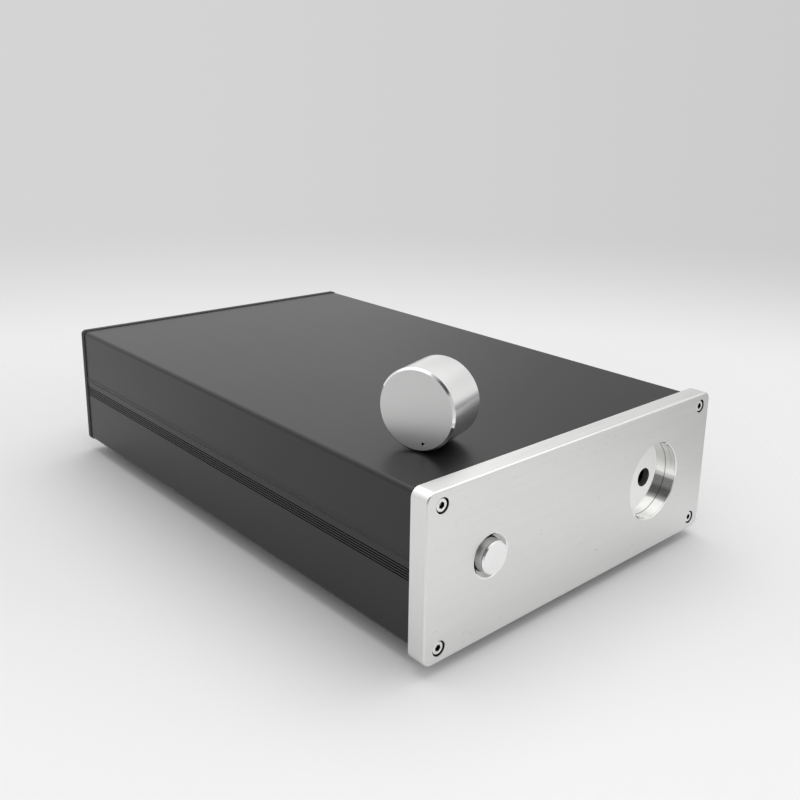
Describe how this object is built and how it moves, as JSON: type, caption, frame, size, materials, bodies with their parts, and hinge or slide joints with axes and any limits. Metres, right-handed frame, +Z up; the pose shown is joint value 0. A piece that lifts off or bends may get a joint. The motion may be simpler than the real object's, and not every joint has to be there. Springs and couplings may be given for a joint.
{
  "type": "amplifier chassis",
  "caption": "Long, low extruded case with a thick milled front plate, a countersunk push button and a deep round recess for its turned knob, which stands on the lid.",
  "frame": {"origin": "on the table, under the middle of the overall length and width", "axes": "X to the right along the front panel, Y from the front panel to the rear panel, Z up"},
  "size_m": [0.185, 0.3012, 0.1073],
  "materials": {
    "brushed_aluminium": "fine brushed and clear anodised",
    "turned_aluminium": "turned, clear anodised",
    "black_anodised": "fine blasted and black anodised",
    "stainless_steel": "plain stainless",
    "black_steel": "black oxide",
    "zinc_steel": "zinc plated",
    "rubber": "matt moulded",
    "black_plastic": "moulded",
    "white_plastic": "moulded",
    "brass": "tinned"
  },
  "bodies": {
    "chassis": {"front_panel": "brushed_aluminium", "front_panel_screws": "stainless_steel", "top_shell": "black_anodised", "bottom_shell": "black_anodised", "rear_panel": "black_anodised", "rear_panel_screws": "black_steel", "foot_front_left": "rubber", "foot_front_right": "rubber", "foot_rear_left": "rubber", "foot_rear_right": "rubber", "foot_screws": "zinc_steel", "foot_nuts": "zinc_steel", "plunger_spring": "stainless_steel", "switch_frame": "zinc_steel", "switch_body": "black_plastic", "switch_terminals": "brass", "switch_bracket": "zinc_steel", "bracket_screws": "zinc_steel", "switch_screws": "zinc_steel", "knob": "turned_aluminium", "knob_grub_screw": "black_steel"},
    "button": {"button_cap": "turned_aluminium", "switch_plunger": "white_plastic"}
  },
  "joints": [
    {"name": "button_press", "type": "slide", "parent": "chassis", "child": "button", "axis": [0, 1, 0], "range_m": [0, 0.0025], "stiffness_N_per_m": 400, "springref_m": -0.003, "deforming": ["plunger_spring"]}
  ]
}
